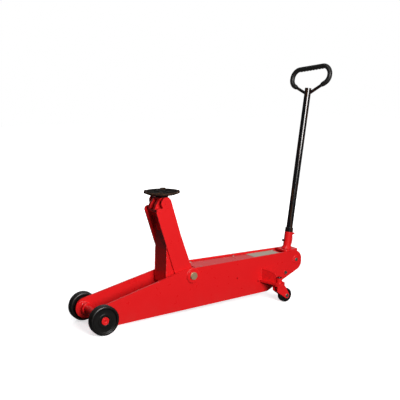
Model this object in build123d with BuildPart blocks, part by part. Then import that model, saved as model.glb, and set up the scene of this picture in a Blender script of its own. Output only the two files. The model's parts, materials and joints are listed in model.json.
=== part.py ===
"""Long-chassis hydraulic workshop jack, standing on the floor with its lifting arm raised.

+X runs from the front wheels to the handle, +Y to the operator's right hand (the operator stands
behind the handle, facing -X), +Z up. The floor is Z = 0, and the origin is the middle of the
jack's footprint. Stations along the chassis are measured behind the front axle, see along().
"""

import os
from math import acos, atan, atan2, cos, degrees, hypot, radians, sin

from build123d import *

# ------------------------------------------------------------------ clearances
running_gap = 0.05      # radial, between a shaft and the bore that turns or slides on it
side_gap = 1.0          # between the faces of pieces that turn past each other
contact_gap = 0.6       # least gap between a roller and the face that it pushes
loose_gap = 0.4         # radial, round a rod that only passes through
screw_tip_gap = 0.25    # between a set screw's tip and the part that it would press on

# ------------------------------------------------------------------ edges
pin_chamfer = 0.8
edge_chamfer = 1.0
shaft_chamfer = 1.5
heavy_chamfer = 2.0

# ------------------------------------------------------------------ front wheels and axle
front_wheel_d = 129.0
front_wheel_w = 36.0
front_wheel_gap = 10.5          # clear between a side plate and its front wheel
front_rim_wall = 12.0
front_hub_d = 50.0
front_recess_depth = 6.0
front_tread_round = 4.0
axle_d = 34.0
axle_journal_d = 22.0
axle_collar_d = 52.0
axle_collar_length = 18.0
end_cap_d = 34.0
end_cap_t = 5.0

# ------------------------------------------------------------------ side plates
plate_t = 8.0
half_width_front = 86.0         # outer face, at the front axle
half_width_rear = 51.5          # outer face, at the rear end
chassis_rear = 1114.0           # rear end of the side plates, behind the front axle
nose_radius = 47.3
ramp_end = (428.0, 213.0)       # where the sloped front edge meets the level top edge
top_rear_height = 215.5
heel = (896.0, 33.6)            # lower corner, where the underside starts to rise
tail_height = 128.0
top_corner_radius = 46.0
tail_corner_radius = 42.0
heel_radius = 8.0
tapped_hole_d = 8.0
tapped_holes = ((713.0, 126.0), (838.0, 93.0))

# ------------------------------------------------------------------ main pivot and lifting arm
pivot = (462.0, 179.2)          # station and height of the main pivot
main_shaft_d = 36.0
main_shaft_proud = 11.0
boss_ring_d = 66.0
boss_ring_t = 6.0
boss_ring_round = 1.5
arm_length = 367.0              # main pivot to saddle pin
arm_lean = 20.3                 # degrees forward of upright, at full height
arm_swing = 80.0                # degrees, from full height down to the lowest position
arm_half_width = 60.0
arm_plate_t = 8.0
arm_hub_d = 56.0
hub_end_d = 70.0
saddle_ear_d = 52.0
stop_ear_d = 34.0
stop_ear_forward = 44.7         # stop bar from the line between main pivot and saddle pin
stop_ear_below = 24.6           # stop bar below the saddle pin, along the arm
stop_bar_d = 12.0
# arm plate outline, as (forward, up) of the line between main pivot and saddle pin
arm_back_edge = ((-12.0, 0.0), (-13.0, 73.0), (-15.0, 202.0))
arm_front_knee = (75.6, 46.0)
arm_front_foot = (78.0, -10.0)
arm_knee_round = 12.0
ear_shoulder = 12.0             # straight front edge ends this far below the saddle pin
crank_radius = 105.0
crank_angle = 40.0              # degrees forward of straight down, at full height
crank_lobe_d = 52.0
crank_pin_d = 24.0
crank_roller_d = 36.0
crank_roller_w = 44.0
saddle_pin_d = 20.0
pin_proud = 1.5
web_t = 6.0
web_foot = (331.0, 152.0)
web_knee = (336.0, 312.0)
web_head = (320.0, 453.0)
web_back = ((342.0, 453.0), (372.0, 330.0), (398.0, 205.0), (398.0, 152.0))
web_slot_w = 30.0
web_slot_depth = 62.0
pin_head_room = 4.0

# ------------------------------------------------------------------ saddle
link_clear = 14.0               # levelling bars' lower pin from the main shaft's surface
link_bar_w = 10.0
link_bar_t = 5.0
link_eye_d = 17.0
link_eye_rim = 2.5
link_pin_d = 10.0
anchor_t = 12.0
anchor_ring_d = 50.0
bracket_cheek_t = 18.0
bracket_gap = 32.0              # clear width between the cheeks
bracket_top = 20.5              # top face above the saddle pin
bracket_boss_d = 36.0
bracket_cap_t = 8.5
bracket_rear = 26.0             # cap's rear edge behind the saddle pin
cheek_brow = (20.0, 14.0)       # cheek outline, forward of and above the saddle pin
cheek_curve = (36.0, -5.0)
cheek_tip = (45.0, -27.0)
cheek_chin = (43.0, -31.0)
cheek_throat = (27.0, -31.0)
saddle_setback = 8.5            # saddle centre behind the saddle pin
spigot_d = 30.0
spigot_height = 12.0
saddle_d = 163.0
saddle_neck_d = 58.0
saddle_neck_h = 9.0
saddle_top_height = 46.0        # rim above the saddle pin
saddle_rim_t = 7.0
saddle_rim_w = 9.0
saddle_rim_edge = 1.5
saddle_flare = 18.0             # width of the sloping underside, in from the rim
saddle_dish_depth = 8.0
saddle_lug_count = 4
saddle_lug_angle = 58.0         # degrees, of one lug from +X
saddle_lug_w = 24.0
saddle_lug_t = 6.0
saddle_lug_h = 4.0
saddle_rib_count = 8
saddle_rib_start = 22.0
saddle_rib_w = 7.0
saddle_rib_h = 4.0
set_screw_d = 6.0

# ------------------------------------------------------------------ hydraulic unit
ram_height = 90.0
pad_length = 22.0
pad_half_width = 24.0
pad_height = 68.0
pad_wing_t = 6.0
pad_wing_h = 20.0
piston_rod_d = 36.0
cylinder_bore_d = 60.0
cylinder_d = 76.0
piston_length = 30.0
piston_back = 645.0             # rear face of the piston at full height
gland_front = 580.0
gland_length = 22.0
gland_d = 84.0
reservoir_d = 96.0
reservoir_wall = 4.0
block_front = 850.0
block_rear = 935.0
block_bottom = 54.0
block_top = 194.0
block_heel_cut = 16.0
filler_station = 700.0
filler_d = 14.0
filler_hex = 19.0
filler_depth = 8.0
filler_head_h = 6.5
block_wall = 8.0                # front wall of the pump block, ahead of the plunger's bore
plunger_d = 16.0
plunger_collar_d = 24.0
plunger_collar_t = 6.0
plunger_collar_in = 26.0        # collar's front face from the plunger's tip
plunger_start = 900.0
pump_spring_wire = 3.0
pump_spring_d = 25.0
pump_spring_turns = 11
ram_spring_wire = 2.5
ram_spring_d = 16.0
ram_spring_side = 38.0          # return springs from the ram's axis
ram_spring_lift = 48.0          # springs above the ram's axis
ram_spring_turns = 16
spindle_height = 182.0
spindle_d = 12.0
spindle_end = 1016.0
spindle_start = 893.0
knuckle_d = 20.0
knuckle_length = 14.0
knuckle_slot = 11.0
link_head = 21.0                # link's top above the socket's floor
link_disc_lift = 4.0            # disc that centres the link in the handle, above that floor
link_foot = 22.0                # lower end of the release link, along the handle's axis

# ------------------------------------------------------------------ rear tie and covers
tie_bar = (1010.0, 111.0)
tie_bar_d = 20.0
tie_bolt_d = 10.0
tie_nut_hex = 16.0
tie_nut_t = 4.5
cover_front = 490.0
cover_rear = 1003.0
cover_t = 4.0
cover_height = 204.0
rail_size = 8.0
rail_front = 506.0
label_front = 832.0
label_rear = 990.0
label_width = 76.0
label_t = 0.8
label_corner = 4.0
cover_screw_d = 6.0
cover_screw_h = 2.5
cover_screw_stations = (520.0, 760.0, 996.0)
cover_screw_inset = 12.0

# ------------------------------------------------------------------ handle yoke
yoke_pivot = (1078.3, 168.3)
yoke_bolt_d = 18.0
yoke_bolt_proud = 2.0
yoke_ring_d = 36.0
yoke_ring_t = 3.0
yoke_half_width = 41.5
yoke_sleeve_d = 42.0
yoke_slab_front = 1018.0
yoke_slab_rear = 1102.0
yoke_slab_corner = 14.0
yoke_slab_round = 3.0
yoke_cheek_depth = 2.0          # upper edge of the cheeks, inside the slab
yoke_slab_bottom = 207.0
yoke_slab_t = 13.0
yoke_cheek_front = 1046.0
yoke_cheek_inner = 25.0
pump_crank = 34.0               # yoke pivot to pump roller
pump_roller_back = 27.0         # degrees behind straight down, handle upright
pump_roller_d = 22.0
pump_roller_w = 18.0
pump_lug_t = 9.0
pump_pin_d = 10.0
handle_travel_down = 55.0       # degrees, pumping stroke rearwards and down
handle_lean = 8.2               # degrees rearward of upright, at rest
handle_foot = 1051.9            # where the handle's axis passes the height of the yoke pivot
socket_d = 41.0
socket_top = 136.0              # along the handle's axis, from the yoke pivot's height
socket_floor = 52.0
socket_root = 14.0              # solid foot of the socket, below its floor
socket_flare = 8.0
socket_flare_foot = 50.0        # along the handle's axis
hook_t = 8.0
hook_root = 3.0                 # depth of the hook inside the socket's wall
# hook's lip, nose, throat and belly, as (outside the socket, below its top)
hook_outline = ((2.0, 2.0), (19.5, 6.0), (3.0, 17.0), (7.0, 42.0))
clamp_screw_at = 91.0
clamp_screw_d = 8.0
clamp_head_d = 11.0
clamp_head_t = 6.0
clamp_screw_reach = 34.0

# ------------------------------------------------------------------ handle
handle_d = 32.0
handle_wall = 3.0
handle_top = 860.0              # open upper end, along the handle's axis
collar_d = 40.5
collar_length = 21.5
handle_turn = -80.0             # degrees, direction of the hand loop about the handle's axis
loop_rod_d = 15.0
loop_cross = 828.0              # where the loop's rod passes through the tube
grip_d = 24.0
grip_ridge_d = 25.5
grip_ridge_count = 8
grip_ridges_from = 0.22         # first and last ridge, as shares of the bar's length
grip_ridges_to = 0.78
grip_ridge_drop = 1.6
# corners of the hand loop, as (across, along) from the handle's axis, and their radii
loop_left_low = (-110.0, 874.0)
loop_left_high = (-110.0, 944.0)
loop_right_high = (122.0, 977.0)
loop_right_low = (122.0, 903.0)
loop_radii = (12.0, 36.0, 50.0, 42.0, 45.0)
grip_from = 0.62                # share of the lower rods that the grip leaves bare

# ------------------------------------------------------------------ rear casters
caster_station = 900.0
caster_side = 148.0
caster_wheel_d = 68.0
caster_wheel_w = 26.0
caster_trail = 33.0
caster_tread_round = 3.0
caster_plate_top = 98.0
caster_plate_t = 10.0
caster_foot_front = 850.0
caster_foot_rear = 936.0
caster_flange_d = 52.0
caster_boss_d = 27.0
caster_boss_top = 122.0
caster_stem_d = 16.0
caster_cap_d = 24.0
caster_cap_t = 4.5
gusset_t = 7.0
gusset_top = 155.0
gusset_knee = (0.75, 141.0)      # share of the gusset's length, and height
gusset_setback = 12.0
fork_plate_t = 6.0
fork_leg_t = 5.0
fork_leg_w = 46.0
fork_leg_drop = 24.0            # straight upper part of a fork leg
fork_leg_offset = 2.0
fork_foot_d = 28.0
caster_axle_d = 12.0
caster_axle_head_d = 18.0
caster_axle_head_t = 3.0


# ================================================================== derived places
def along(station):
    """X of a point that lies this far behind the front axle."""
    return front_axle_x + station


def outer_half_width(station):
    """Distance from the middle plane to a side plate's outer face."""
    return half_width_front - taper * station


def inner_half_width(station):
    """Distance from the middle plane to a side plate's inner face."""
    return outer_half_width(station) - plate_t / taper_cos


def tangent_point(centre, radius, point, side):
    """Where the tangent from a point touches a circle, on its +1 (left) or -1 (right) side."""
    dx, dz = point[0] - centre[0], point[1] - centre[1]
    turn = atan2(dz, dx) + side * acos(radius / hypot(dx, dz))
    return (centre[0] + radius * cos(turn), centre[1] + radius * sin(turn))


def on_arm(forward, up):
    """Point of the raised arm: distance forward of the pivot line, and along it from the pivot."""
    lean = radians(arm_lean)
    x = along(pivot[0]) - up * sin(lean) - forward * cos(lean)
    z = pivot[1] + up * cos(lean) - forward * sin(lean)
    return (x, z)


def across(x, z):
    """Axis along Y through a point of the middle plane, as a location."""
    return Location((x, 0, z), (90, 0, 0))


def side_sheet(distance):
    """Plane facing -Y at this distance from the middle plane, with X along it and Z up."""
    return Plane(origin=(0, distance, 0), x_dir=(1, 0, 0), z_dir=(0, -1, 0))


def write_node(piece, name):
    """Label a finished piece and write its file."""
    piece.part.label = name
    export_step(piece.part, f"parts/{name}.step")


def write_pair(piece, name):
    """Write a left-hand piece and its mirror image on the right."""
    write_node(piece, f"{name}_left")
    with BuildPart() as twin:
        add(piece.part)
        mirror(about=Plane.XZ, mode=Mode.REPLACE)
    write_node(twin, f"{name}_right")


os.makedirs("parts", exist_ok=True)

taper = (half_width_front - half_width_rear) / chassis_rear
taper_cos = cos(atan(taper))
axle_height = front_wheel_d / 2
front_wheel_span = 2 * (half_width_front + front_wheel_gap + front_wheel_w)
front_wheel_y = (front_wheel_span - front_wheel_w) / 2

# The hand loop's route, in the plane of the handle's axis, measured first because the loop is
# the jack's rearmost piece and the origin lies midway along the footprint.
loop_corners = [(0.0, loop_cross), loop_left_low, loop_left_high, loop_right_high, loop_right_low]


def handle_plane(foot_x):
    """Plane of the hand loop: X across the loop, Y up along the handle's axis."""
    lean, turn = radians(handle_lean), radians(handle_turn)
    x_dir = (cos(turn) * cos(lean), sin(turn), -cos(turn) * sin(lean))
    normal = (sin(turn) * cos(lean), -cos(turn), -sin(turn) * sin(lean))
    return Plane(origin=(foot_x, 0, yoke_pivot[1]), x_dir=x_dir, z_dir=normal)


with BuildLine(handle_plane(handle_foot)) as loop_from_axle:
    FilletPolyline(*loop_corners, radius=loop_radii, close=True)

rear_reach = loop_from_axle.line.bounding_box().max.X + grip_d / 2
front_axle_x = -(rear_reach - front_wheel_d / 2) / 2

axle_x = front_axle_x
pivot_x, pivot_z = along(pivot[0]), pivot[1]
saddle_pin = on_arm(0, arm_length)
stop_bar = on_arm(stop_ear_forward, arm_length - stop_ear_below)
crank = (pivot_x - crank_radius * sin(radians(crank_angle)),
         pivot_z - crank_radius * cos(radians(crank_angle)))
arm_inner = arm_half_width - arm_plate_t

# Levelling bars: their pins lie off the arm's pivots by one constant step, square to the arm
# at the middle of its swing, so that arm, bars, chassis and saddle bracket make a parallelogram.
link_offset = main_shaft_d / 2 + link_clear
middle_lean = radians(arm_lean + arm_swing / 2)
link_step = (-link_offset * cos(middle_lean), -link_offset * sin(middle_lean))
lower_link = (pivot_x + link_step[0], pivot_z + link_step[1])
upper_link = (saddle_pin[0] + link_step[0], saddle_pin[1] + link_step[1])

# The ram moves in step with the arm; its pad clears the roller by the most that the roller's
# circular path runs ahead of that even step, and by the contact gap.
ram_stroke = 2 * crank_radius * sin(radians(arm_swing / 2))
ram_even_step = ram_stroke / radians(arm_swing)
fastest_at = acos(ram_even_step / crank_radius)
roller_lead = crank_radius * sin(fastest_at) - ram_even_step * fastest_at
pad_front = crank[0] + crank_roller_d / 2 + roller_lead + contact_gap

yoke_x, yoke_z = along(yoke_pivot[0]), yoke_pivot[1]
pump_roller = (yoke_x + pump_crank * sin(radians(pump_roller_back)),
               yoke_z - pump_crank * cos(radians(pump_roller_back)))
plunger_tip = pump_roller[0] - pump_roller_d / 2 - contact_gap


# ================================================================== chassis
def side_face_plane():
    """Outer face of the left side plate: X rearwards along it, Y up, normal outwards."""
    tilt = atan(taper)
    return Plane(
        origin=(axle_x, -half_width_front, 0),
        x_dir=(cos(tilt), sin(tilt), 0),
        z_dir=(sin(tilt), -cos(tilt), 0),
    )


nose = (0.0, axle_height)
nose_top = tangent_point(nose, nose_radius, ramp_end, 1)
nose_bottom = tangent_point(nose, nose_radius, heel, -1)

with BuildPart() as side_plate:
    with BuildSketch(side_face_plane()):
        with BuildLine():
            FilletPolyline(
                nose_bottom,
                heel,
                (chassis_rear, tail_height),
                (chassis_rear, top_rear_height),
                ramp_end,
                nose_top,
                radius=(heel_radius, tail_corner_radius, top_corner_radius, 0),
            )
            ThreePointArc(nose_top, (-nose_radius, axle_height), nose_bottom)
        make_face()
    extrude(amount=-plate_t)
    through = 4 * half_width_front
    with Locations(across(axle_x, axle_height)):
        Cylinder(axle_d / 2, through, mode=Mode.SUBTRACT)
    with Locations(across(pivot_x, pivot_z)):
        Cylinder(main_shaft_d / 2, through, mode=Mode.SUBTRACT)
    with Locations(across(yoke_x, yoke_z)):
        Cylinder(yoke_bolt_d / 2, through, mode=Mode.SUBTRACT)
    with Locations(across(along(tie_bar[0]), tie_bar[1])):
        Cylinder(tie_bolt_d / 2, through, mode=Mode.SUBTRACT)
    with Locations(*[across(along(x), z) for x, z in tapped_holes]):
        Cylinder(tapped_hole_d / 2, through, mode=Mode.SUBTRACT)
write_pair(side_plate, "side_plate")


def chassis_bay(station_from, station_to, bottom, top):
    """Add the space between the side plates, over a stretch of the chassis."""
    with BuildSketch(Plane.XY.offset(bottom)) as bay_plan:
        with BuildLine():
            Polyline(
                (along(station_from), -inner_half_width(station_from)),
                (along(station_to), -inner_half_width(station_to)),
                (along(station_to), inner_half_width(station_to)),
                (along(station_from), inner_half_width(station_from)),
                close=True,
            )
        make_face()
    extrude(bay_plan.sketch, amount=top - bottom)


with BuildPart() as front_axle:
    with Locations(across(axle_x, axle_height)):
        shoulder = 2 * (front_wheel_y - front_wheel_w / 2 - side_gap)
        Cylinder(axle_d / 2, shoulder)
        journal = front_wheel_span - 2 * (front_recess_depth - side_gap)
        Cylinder(axle_journal_d / 2, journal)
write_node(front_axle, "front_axle")

with BuildPart() as axle_collars:
    chassis_bay(-axle_collar_d, axle_collar_d, 0, front_wheel_d)
    with Locations(across(axle_x, axle_height)):
        Cylinder(axle_collar_d / 2, 2 * half_width_front, mode=Mode.INTERSECT)
        Cylinder(axle_d / 2, 2 * half_width_front, mode=Mode.SUBTRACT)
        Cylinder(axle_collar_d, 2 * (inner_half_width(0) - axle_collar_length), mode=Mode.SUBTRACT)
write_node(axle_collars, "axle_collars")

with BuildPart() as axle_end_caps:
    cap_y = front_wheel_span / 2 - front_recess_depth + side_gap + end_cap_t / 2
    with Locations(Location((axle_x, cap_y, axle_height), (90, 0, 0)),
                   Location((axle_x, -cap_y, axle_height), (90, 0, 0))):
        Cylinder(end_cap_d / 2, end_cap_t)
    chamfer(axle_end_caps.edges().filter_by(GeomType.CIRCLE), length=edge_chamfer)
write_node(axle_end_caps, "axle_end_caps")

with BuildPart() as front_wheel:
    with BuildSketch(Plane.XY) as wheel_half:
        with Locations((axle_journal_d / 2 + running_gap, 0)):
            Rectangle(
                (front_wheel_d - axle_journal_d) / 2 - running_gap,
                front_wheel_w,
                align=(Align.MIN, Align.CENTER),
            )
        recess_w = front_wheel_d / 2 - front_rim_wall - front_hub_d / 2
        with Locations((front_hub_d / 2, front_wheel_w / 2), (front_hub_d / 2, -front_wheel_w / 2)):
            Rectangle(recess_w, 2 * front_recess_depth, align=(Align.MIN, Align.CENTER),
                      mode=Mode.SUBTRACT)
        with Locations((0, front_wheel_w / 2), (0, -front_wheel_w / 2)):
            Rectangle(front_hub_d, 2 * front_recess_depth, mode=Mode.SUBTRACT)
        tread_corners = wheel_half.vertices().sort_by(Axis.X)[-2:]
        fillet(tread_corners, radius=front_tread_round)
    revolve(axis=Axis.Y)
front_wheel_solid = front_wheel.part

for side, word in ((-1, "left"), (1, "right")):
    with BuildPart() as placed_wheel:
        add(front_wheel_solid.moved(Location((axle_x, side * front_wheel_y, axle_height))))
    write_node(placed_wheel, f"front_wheel_{word}")


def ring_on_plates(x, z, outer_d, inner_d, thickness, station):
    """Add a welded ring around a bore, on the outer face of each side plate."""
    inside_plate = outer_half_width(station) - plate_t / 2
    with Locations(across(x, z)):
        Cylinder(outer_d / 2, 2 * (outer_half_width(station) + thickness))
        Cylinder(inner_d / 2, 4 * half_width_front, mode=Mode.SUBTRACT)
        Cylinder(outer_d, 2 * inside_plate, mode=Mode.SUBTRACT)


def cut_side_plates():
    """Take the side plates' own space out of the piece being built."""
    add(side_plate.part, mode=Mode.SUBTRACT)
    add(mirror(side_plate.part, about=Plane.XZ, mode=Mode.PRIVATE), mode=Mode.SUBTRACT)


with BuildPart() as pivot_boss_rings:
    ring_on_plates(pivot_x, pivot_z, boss_ring_d, main_shaft_d, boss_ring_t, pivot[0])
    cut_side_plates()
    ring_edges = pivot_boss_rings.edges().filter_by(GeomType.CIRCLE)
    fillet(ring_edges.group_by(Axis.Y)[0] + ring_edges.group_by(Axis.Y)[-1], radius=boss_ring_round)
    ring_on_plates(yoke_x, yoke_z, yoke_ring_d, yoke_bolt_d, yoke_ring_t, yoke_pivot[0])
    cut_side_plates()
write_node(pivot_boss_rings, "pivot_boss_rings")

with BuildPart() as main_shaft:
    with Locations(across(pivot_x, pivot_z)):
        Cylinder(main_shaft_d / 2, 2 * (outer_half_width(pivot[0]) + main_shaft_proud))
    chamfer(main_shaft.edges().filter_by(GeomType.CIRCLE), length=shaft_chamfer)
write_node(main_shaft, "main_shaft")

with BuildPart() as rear_tie_bar:
    chassis_bay(tie_bar[0] - tie_bar_d, tie_bar[0] + tie_bar_d, 0, 2 * tie_bar[1])
    tie_face = outer_half_width(tie_bar[0] - tie_bolt_d)
    with Locations(across(along(tie_bar[0]), tie_bar[1])):
        Cylinder(tie_bar_d / 2, 2 * half_width_front, mode=Mode.INTERSECT)
        Cylinder(tie_bolt_d / 2, 2 * tie_face)
    for side in (-1, 1):
        with BuildSketch(Plane(origin=(along(tie_bar[0]), side * tie_face, tie_bar[1]),
                               z_dir=(0, side, 0))):
            RegularPolygon(tie_nut_hex / 2, 6, major_radius=False)
        extrude(amount=tie_nut_t)
write_node(rear_tie_bar, "rear_tie_bar")

with BuildPart() as cover_rails:
    chassis_bay(rail_front, cover_rear, cover_height - rail_size, cover_height)
    with BuildSketch(Plane.XY.offset(cover_height - 2 * rail_size)) as between_rails:
        with BuildLine():
            Polyline(
                (along(rail_front) - side_gap, -inner_half_width(rail_front) + rail_size),
                (along(cover_rear) + side_gap, -inner_half_width(cover_rear) + rail_size),
                (along(cover_rear) + side_gap, inner_half_width(cover_rear) - rail_size),
                (along(rail_front) - side_gap, inner_half_width(rail_front) - rail_size),
                close=True,
            )
        make_face()
    extrude(amount=3 * rail_size, mode=Mode.SUBTRACT)
write_node(cover_rails, "cover_rails")

with BuildPart() as top_cover:
    chassis_bay(cover_front, cover_rear, cover_height, cover_height + cover_t)
write_node(top_cover, "top_cover")

with BuildPart() as data_plate:
    with BuildSketch(Plane.XY.offset(cover_height + cover_t)):
        with Locations((along((label_front + label_rear) / 2), 0)):
            RectangleRounded(label_rear - label_front, label_width, radius=label_corner)
    extrude(amount=label_t)
write_node(data_plate, "data_plate")

with BuildPart() as cover_screws:
    screw_places = [
        (along(s), side * (inner_half_width(s) - cover_screw_inset), cover_height + cover_t)
        for s in cover_screw_stations
        for side in (-1, 1)
    ]
    with Locations(*screw_places):
        Cylinder(cover_screw_d, cover_screw_h, align=(Align.CENTER, Align.CENTER, Align.MIN))
    chamfer(cover_screws.edges().filter_by(GeomType.CIRCLE).group_by(Axis.Z)[-1], length=pin_chamfer)
write_node(cover_screws, "cover_screws")

# ================================================================== lifting arm
with BuildPart() as arm_plate:
    with BuildSketch(side_sheet(-arm_inner)) as arm_outline:
        with Locations(saddle_pin):
            Circle(saddle_ear_d / 2)
        with Locations(stop_bar):
            Circle(stop_ear_d / 2)
        with Locations((pivot_x, pivot_z)):
            Circle(hub_end_d / 2)
        with BuildLine():
            Polyline(
                *[on_arm(forward, up) for forward, up in arm_back_edge],
                on_arm(-saddle_ear_d / 2, arm_length),
                on_arm(saddle_ear_d / 2, arm_length - ear_shoulder),
                on_arm(stop_ear_forward + stop_ear_d / 2, arm_length - stop_ear_below),
                on_arm(*arm_front_knee),
                on_arm(*arm_front_foot),
                close=True,
            )
        make_face()
    extrude(amount=arm_plate_t)
    with BuildSketch(side_sheet(-arm_inner)):
        with Locations((pivot_x, pivot_z)):
            Circle(hub_end_d / 2)
        with Locations(crank):
            Circle(crank_lobe_d / 2)
        with Locations(on_arm(arm_front_knee[0] - arm_knee_round, arm_front_knee[1])):
            Circle(arm_knee_round)
        make_hull()
    extrude(amount=arm_plate_t)
    with Locations(across(pivot_x, pivot_z)):
        Cylinder(main_shaft_d / 2 + running_gap, through, mode=Mode.SUBTRACT)
    with Locations(across(*saddle_pin)):
        Cylinder(saddle_pin_d / 2, through, mode=Mode.SUBTRACT)
    with Locations(across(*stop_bar)):
        Cylinder(stop_bar_d / 2, through, mode=Mode.SUBTRACT)
    with Locations(across(*crank)):
        Cylinder(crank_pin_d / 2, through, mode=Mode.SUBTRACT)
write_pair(arm_plate, "arm_plate")

with BuildPart() as arm_web:
    with BuildSketch(side_sheet(-arm_inner)) as web_side:
        with BuildLine():
            Polyline(
                (along(web_foot[0]), web_foot[1]),
                (along(web_knee[0]), web_knee[1]),
                (along(web_head[0]), web_head[1]),
                *[(along(x), z) for x, z in web_back],
                close=True,
            )
        make_face()
    extrude(web_side.sketch, amount=-2 * arm_inner)
    with BuildSketch(side_sheet(-(arm_inner - web_t))) as web_hollow:
        with BuildLine():
            Polyline(
                (along(web_foot[0]) + web_t, 0),
                (along(web_foot[0]) + web_t, web_foot[1]),
                (along(web_knee[0]) + web_t, web_knee[1]),
                (along(web_head[0]) + web_t, web_head[1]),
                (along(web_head[0]) + web_t, web_head[1] + web_t),
                (pivot_x, web_head[1] + web_t),
                (pivot_x, 0),
                close=True,
            )
        make_face()
    extrude(web_hollow.sketch, amount=-2 * (arm_inner - web_t), mode=Mode.SUBTRACT)
    slot_top = Location((along(web_head[0]), 0, web_head[1]))
    with Locations(slot_top):
        Box(web_slot_depth, web_slot_w, 2 * web_slot_depth, mode=Mode.SUBTRACT)
write_node(arm_web, "arm_web")

hub_inner_y = anchor_t / 2 + side_gap + link_bar_t + pin_head_room
with BuildPart() as arm_hubs:
    with Locations(across(pivot_x, pivot_z)):
        Cylinder(arm_hub_d / 2, 2 * arm_inner)
        Cylinder(arm_hub_d, 2 * hub_inner_y, mode=Mode.SUBTRACT)
        Cylinder(main_shaft_d / 2 + running_gap, 2 * arm_inner, mode=Mode.SUBTRACT)
write_node(arm_hubs, "arm_hubs")


def cross_pin(x, z, diameter, reach, name):
    """Write a plain round pin that lies across the jack, this far to each side."""
    with BuildPart() as pin:
        with Locations(across(x, z)):
            Cylinder(diameter / 2, 2 * reach)
        chamfer(pin.edges().filter_by(GeomType.CIRCLE), length=pin_chamfer)
    write_node(pin, name)


cross_pin(*stop_bar, stop_bar_d, arm_half_width + pin_proud, "stop_bar")
cross_pin(*crank, crank_pin_d, arm_half_width, "crank_pin")
cross_pin(*saddle_pin, saddle_pin_d, arm_half_width + pin_proud, "saddle_pin")


def roller(x, z, diameter, width, bore_d, name):
    """Write a roller that runs freely on its pin."""
    with BuildPart() as wheel:
        with Locations(across(x, z)):
            Cylinder(diameter / 2, width)
        chamfer(wheel.edges().filter_by(GeomType.CIRCLE), length=edge_chamfer)
        with Locations(across(x, z)):
            Cylinder(bore_d / 2 + running_gap, width, mode=Mode.SUBTRACT)
    write_node(wheel, name)


roller(*crank, crank_roller_d, crank_roller_w, crank_pin_d, "crank_roller")

# ================================================================== levelling linkage and saddle
with BuildPart() as link_anchor:
    with BuildSketch(side_sheet(-anchor_t / 2)):
        with Locations((pivot_x, pivot_z)):
            Circle(anchor_ring_d / 2)
        with Locations(lower_link):
            Circle(link_eye_d / 2)
        make_hull()
        with Locations((pivot_x, pivot_z)):
            Circle(main_shaft_d / 2, mode=Mode.SUBTRACT)
        with Locations(lower_link):
            Circle(link_pin_d / 2, mode=Mode.SUBTRACT)
    extrude(amount=-anchor_t)
write_node(link_anchor, "link_anchor")

link_outer_y = anchor_t / 2 + side_gap + link_bar_t
cheek_outer = bracket_gap / 2 + bracket_cheek_t
cross_pin(*lower_link, link_pin_d, link_outer_y + side_gap, "lower_link_pin")
cross_pin(*upper_link, link_pin_d, cheek_outer, "upper_link_pin")

with BuildPart() as levelling_bars:
    with BuildSketch(side_sheet(-link_outer_y)) as bar_side:
        with Locations(lower_link, upper_link):
            Circle(link_bar_w / 2)
        make_hull()
        with Locations(lower_link, upper_link):
            Circle(link_eye_d / 2)
            Circle(link_pin_d / 2 + running_gap, mode=Mode.SUBTRACT)
    extrude(amount=-link_bar_t)
    mirror(about=Plane.XZ)
write_node(levelling_bars, "levelling_bars")


def from_saddle_pin(forward, up):
    """Point of the saddle bracket, from the saddle pin."""
    return (saddle_pin[0] - forward, saddle_pin[1] + up)


saddle_x = saddle_pin[0] + saddle_setback
bracket_face = saddle_pin[1] + bracket_top
with BuildPart() as saddle_bracket:
    with BuildSketch(side_sheet(-cheek_outer)) as cheek:
        with BuildLine():
            ThreePointArc(from_saddle_pin(*cheek_brow), from_saddle_pin(*cheek_curve),
                          from_saddle_pin(*cheek_tip))
            Polyline(
                from_saddle_pin(*cheek_tip),
                from_saddle_pin(*cheek_chin),
                from_saddle_pin(*cheek_throat),
                upper_link,
                from_saddle_pin(0, -bracket_boss_d / 2),
                from_saddle_pin(-bracket_boss_d / 2, 0),
                from_saddle_pin(-bracket_rear, bracket_top - bracket_cap_t),
                from_saddle_pin(-bracket_rear, bracket_top),
                from_saddle_pin(cheek_brow[0], bracket_top),
                from_saddle_pin(*cheek_brow),
            )
        make_face()
        with Locations(saddle_pin):
            Circle(bracket_boss_d / 2)
        with Locations(upper_link):
            Circle(link_eye_d / 2 + link_eye_rim)
    extrude(amount=-2 * cheek_outer)
    with Locations(across(*saddle_pin)):
        Cylinder(bracket_boss_d / 2, 2 * (arm_inner - side_gap))
    with Locations((saddle_pin[0], 0, bracket_face - bracket_cap_t)):
        Box(saddle_d, bracket_gap, saddle_d, align=(Align.CENTER, Align.CENTER, Align.MAX),
            mode=Mode.SUBTRACT)
    with Locations((saddle_x, 0, bracket_face)):
        Cylinder(saddle_neck_d / 2 - 2 * side_gap, bracket_cap_t,
                 align=(Align.CENTER, Align.CENTER, Align.MAX))
        Cylinder(spigot_d / 2, spigot_height, align=(Align.CENTER, Align.CENTER, Align.MIN))
    with Locations(across(*saddle_pin)):
        Cylinder(saddle_pin_d / 2 + running_gap, through, mode=Mode.SUBTRACT)
    with Locations(across(*upper_link)):
        Cylinder(link_pin_d / 2, through, mode=Mode.SUBTRACT)
write_node(saddle_bracket, "saddle_bracket")

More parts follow.
